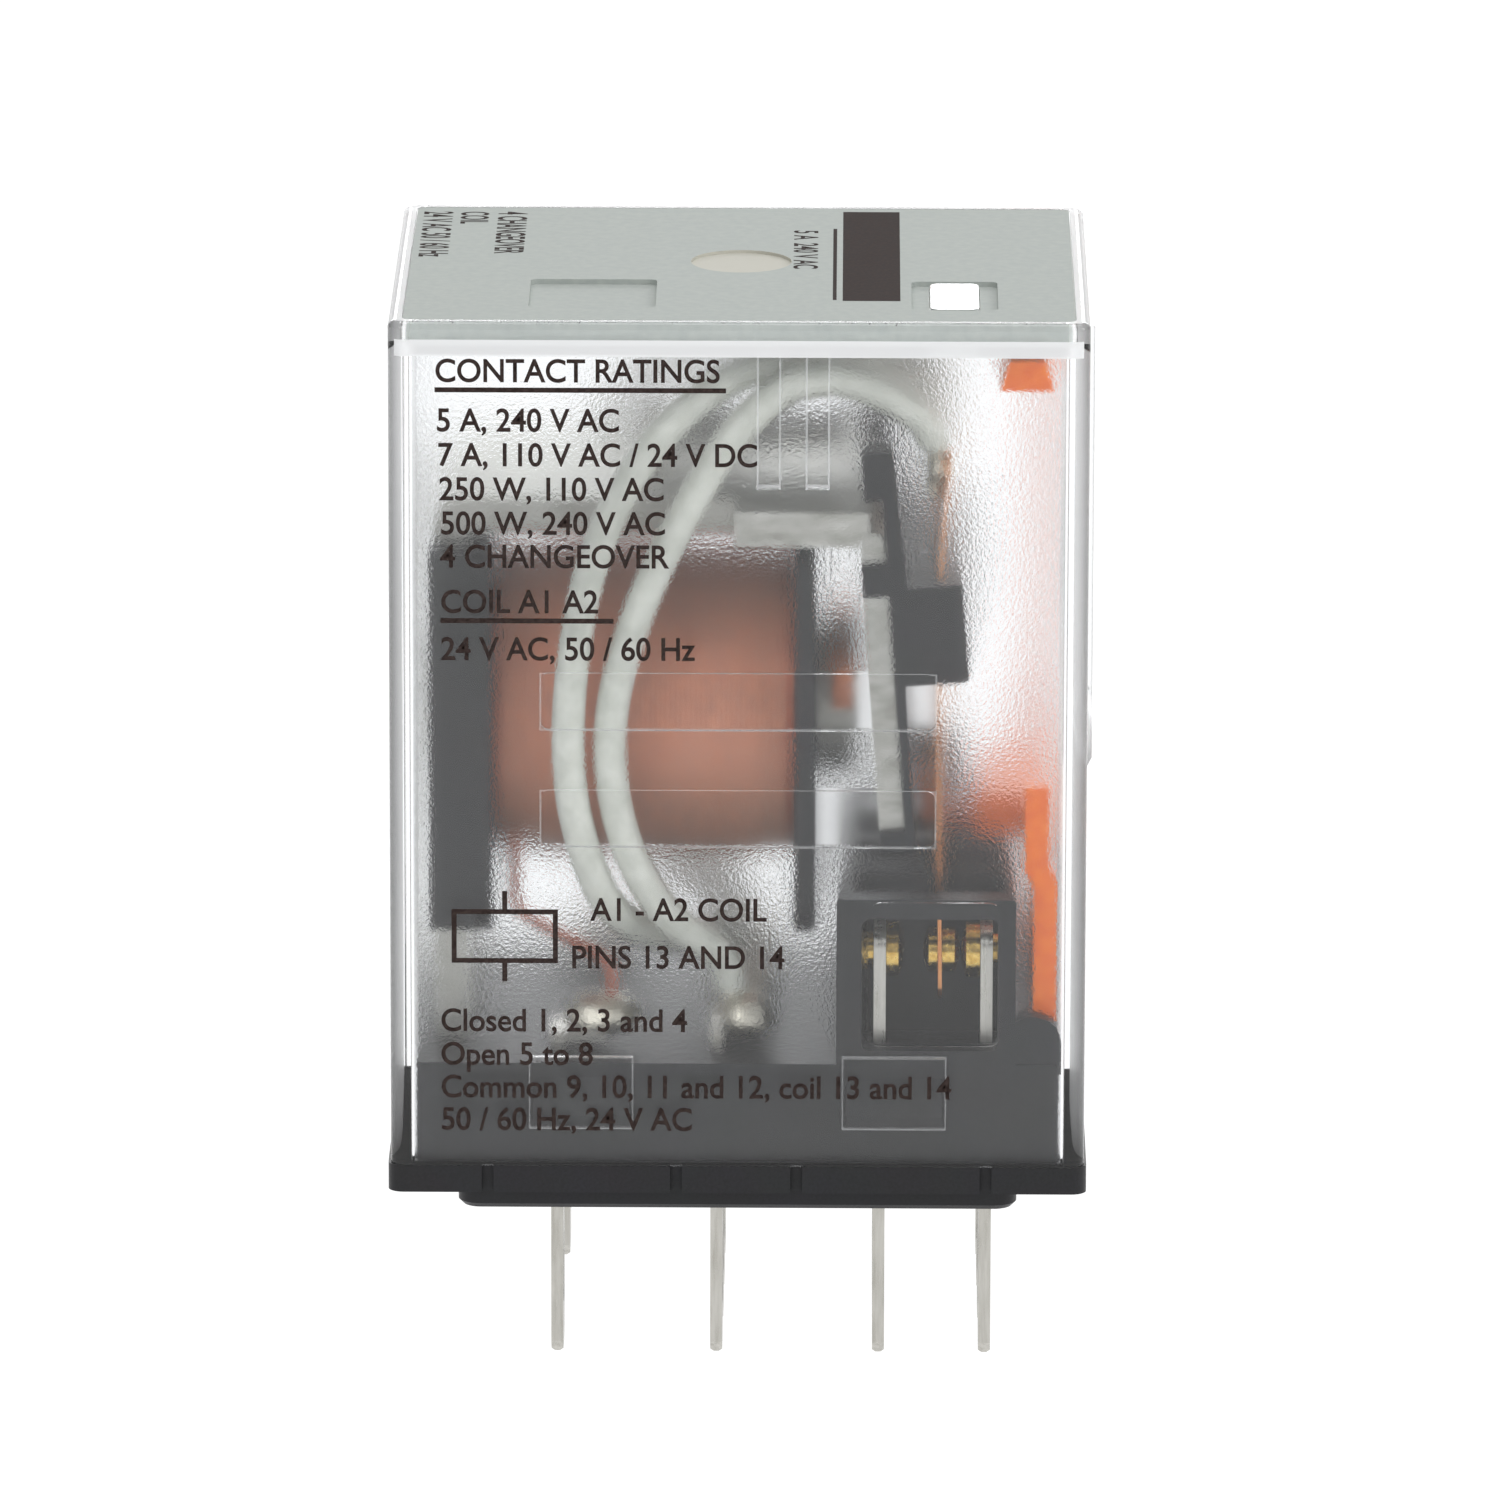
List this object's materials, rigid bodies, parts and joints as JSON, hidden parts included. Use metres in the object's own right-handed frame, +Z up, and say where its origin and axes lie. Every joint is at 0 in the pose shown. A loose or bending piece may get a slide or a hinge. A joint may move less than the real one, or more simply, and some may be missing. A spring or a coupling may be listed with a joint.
{
  "type": "plug in relay",
  "caption": "Plug-in changeover relay with a clear frosted cover, clapper magnet, spring leaf contacts, indicator lever and flat plug-in blades under a black base.",
  "frame": {"origin": "centre of the plinth's underside, the face that seats on a socket", "axes": "+X towards the contacts, +Y towards the back, +Z up, away from the socket"},
  "size_m": [0.0277, 0.0212, 0.0429],
  "materials": {
    "black_moulding": "satin black moulded nylon",
    "clear_polycarbonate": "clear polycarbonate, faces finely frosted",
    "grey_plate": "matte light grey green plate",
    "zinc_plated_steel": "bright zinc plated mild steel",
    "bare_copper": "bare copper",
    "enamelled_copper": "enamelled copper wire",
    "clear_tape": "clear polyester tape",
    "tinned_brass": "tin plated brass",
    "gold_flashed_silver": "gold flashed silver alloy",
    "spring_copper": "rolled beryllium copper strip",
    "spring_steel": "bright spring wire",
    "white_insulation": "off-white flexible insulation",
    "orange_moulding": "orange moulded plastic"
  },
  "bodies": {
    "housing": {"base": "black_moulding", "cover": "clear_polycarbonate", "top_plate": "grey_plate", "yoke": "zinc_plated_steel", "core": "zinc_plated_steel", "shading_ring": "bare_copper", "bobbin": "black_moulding", "coil_winding": "enamelled_copper", "coil_tape": "clear_tape", "coil_terminal_a1": "tinned_brass", "coil_terminal_a2": "tinned_brass", "coil_lead_a1": "enamelled_copper", "coil_lead_a2": "enamelled_copper", "com_terminal_1": "tinned_brass", "com_terminal_2": "tinned_brass", "com_terminal_3": "tinned_brass", "com_terminal_4": "tinned_brass", "no_terminal_1": "tinned_brass", "no_terminal_2": "tinned_brass", "no_terminal_3": "tinned_brass", "no_terminal_4": "tinned_brass", "nc_terminal_1": "tinned_brass", "nc_terminal_2": "tinned_brass", "nc_terminal_3": "tinned_brass", "nc_terminal_4": "tinned_brass", "no_contact_1": "gold_flashed_silver", "no_contact_2": "gold_flashed_silver", "no_contact_3": "gold_flashed_silver", "no_contact_4": "gold_flashed_silver", "nc_contact_1": "gold_flashed_silver", "nc_contact_2": "gold_flashed_silver", "nc_contact_3": "gold_flashed_silver", "nc_contact_4": "gold_flashed_silver", "lead_wire_1": "white_insulation", "lead_wire_2": "white_insulation", "lead_wire_3": "white_insulation", "lead_wire_4": "white_insulation", "return_spring": "spring_steel"},
    "armature": {"armature": "zinc_plated_steel", "contact_carrier": "black_moulding", "leaf_tail_1": "spring_copper", "leaf_tail_2": "spring_copper", "leaf_tail_3": "spring_copper", "leaf_tail_4": "spring_copper"},
    "contact_leaves": {"leaf_spring_1": "spring_copper", "leaf_spring_2": "spring_copper", "leaf_spring_3": "spring_copper", "leaf_spring_4": "spring_copper", "moving_contact_1": "gold_flashed_silver", "moving_contact_2": "gold_flashed_silver", "moving_contact_3": "gold_flashed_silver", "moving_contact_4": "gold_flashed_silver"},
    "indicator": {"indicator_flag": "orange_moulding"}
  },
  "joints": [
    {"name": "armature_pivot", "type": "hinge", "parent": "housing", "child": "armature", "pos_m": [0.00524, 0, 0.02685], "axis": [0, 1, 0], "range_deg": [0, 4.1], "stiffness_Nm_per_rad": 0.02, "springref_deg": -5.73, "deforming": ["lead_wire_1", "lead_wire_2", "lead_wire_3", "lead_wire_4", "return_spring"]},
    {"name": "leaf_flex", "type": "hinge", "parent": "armature", "child": "contact_leaves", "pos_m": [0.00787, 0, 0.02087], "axis": [0, 1, 0], "range_deg": [-2.5, 0]},
    {"name": "indicator_pivot", "type": "hinge", "parent": "housing", "child": "indicator", "pos_m": [0.0121, 0, 0.0068], "axis": [0, 1, 0], "range_deg": [-5.36, 0]}
  ],
  "couplings": [
    {"joint": "leaf_flex", "follows": "armature_pivot", "ratio": -0.606},
    {"joint": "indicator_pivot", "follows": "armature_pivot", "ratio": -1.305}
  ]
}
